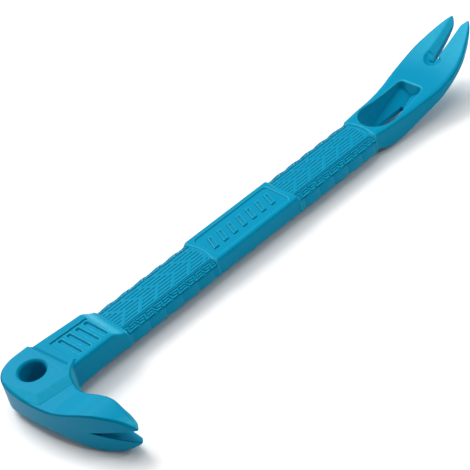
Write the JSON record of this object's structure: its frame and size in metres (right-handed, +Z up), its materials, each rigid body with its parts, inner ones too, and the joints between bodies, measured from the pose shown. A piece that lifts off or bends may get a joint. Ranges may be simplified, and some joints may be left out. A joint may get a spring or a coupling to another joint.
{
  "type": "pry bar",
  "caption": "Forged steel pry bar and nail puller: right-angled cat's-paw hook, hanging hole, ribbed thumb rest, textured handle, nail slot and an upturned fork claw.",
  "frame": {"origin": "the centre of the hanging hole, half way through the heel", "axes": "+X along the bar from the heel to the fork, +Z up along the hanging hole's axis; the hook hangs towards -Y and the fork curves up towards +Z"},
  "size_m": [0.301, 0.0774, 0.0323],
  "materials": {
    "painted_steel": "satin teal paint over forged steel"
  },
  "bodies": {
    "root": {"claw_hook": "painted_steel", "heel_boss": "painted_steel", "thumb_rest": "painted_steel", "lower_grip": "painted_steel", "centre_block": "painted_steel", "upper_grip": "painted_steel", "slot_neck": "painted_steel", "fork_claw": "painted_steel"}
  },
  "joints": []
}
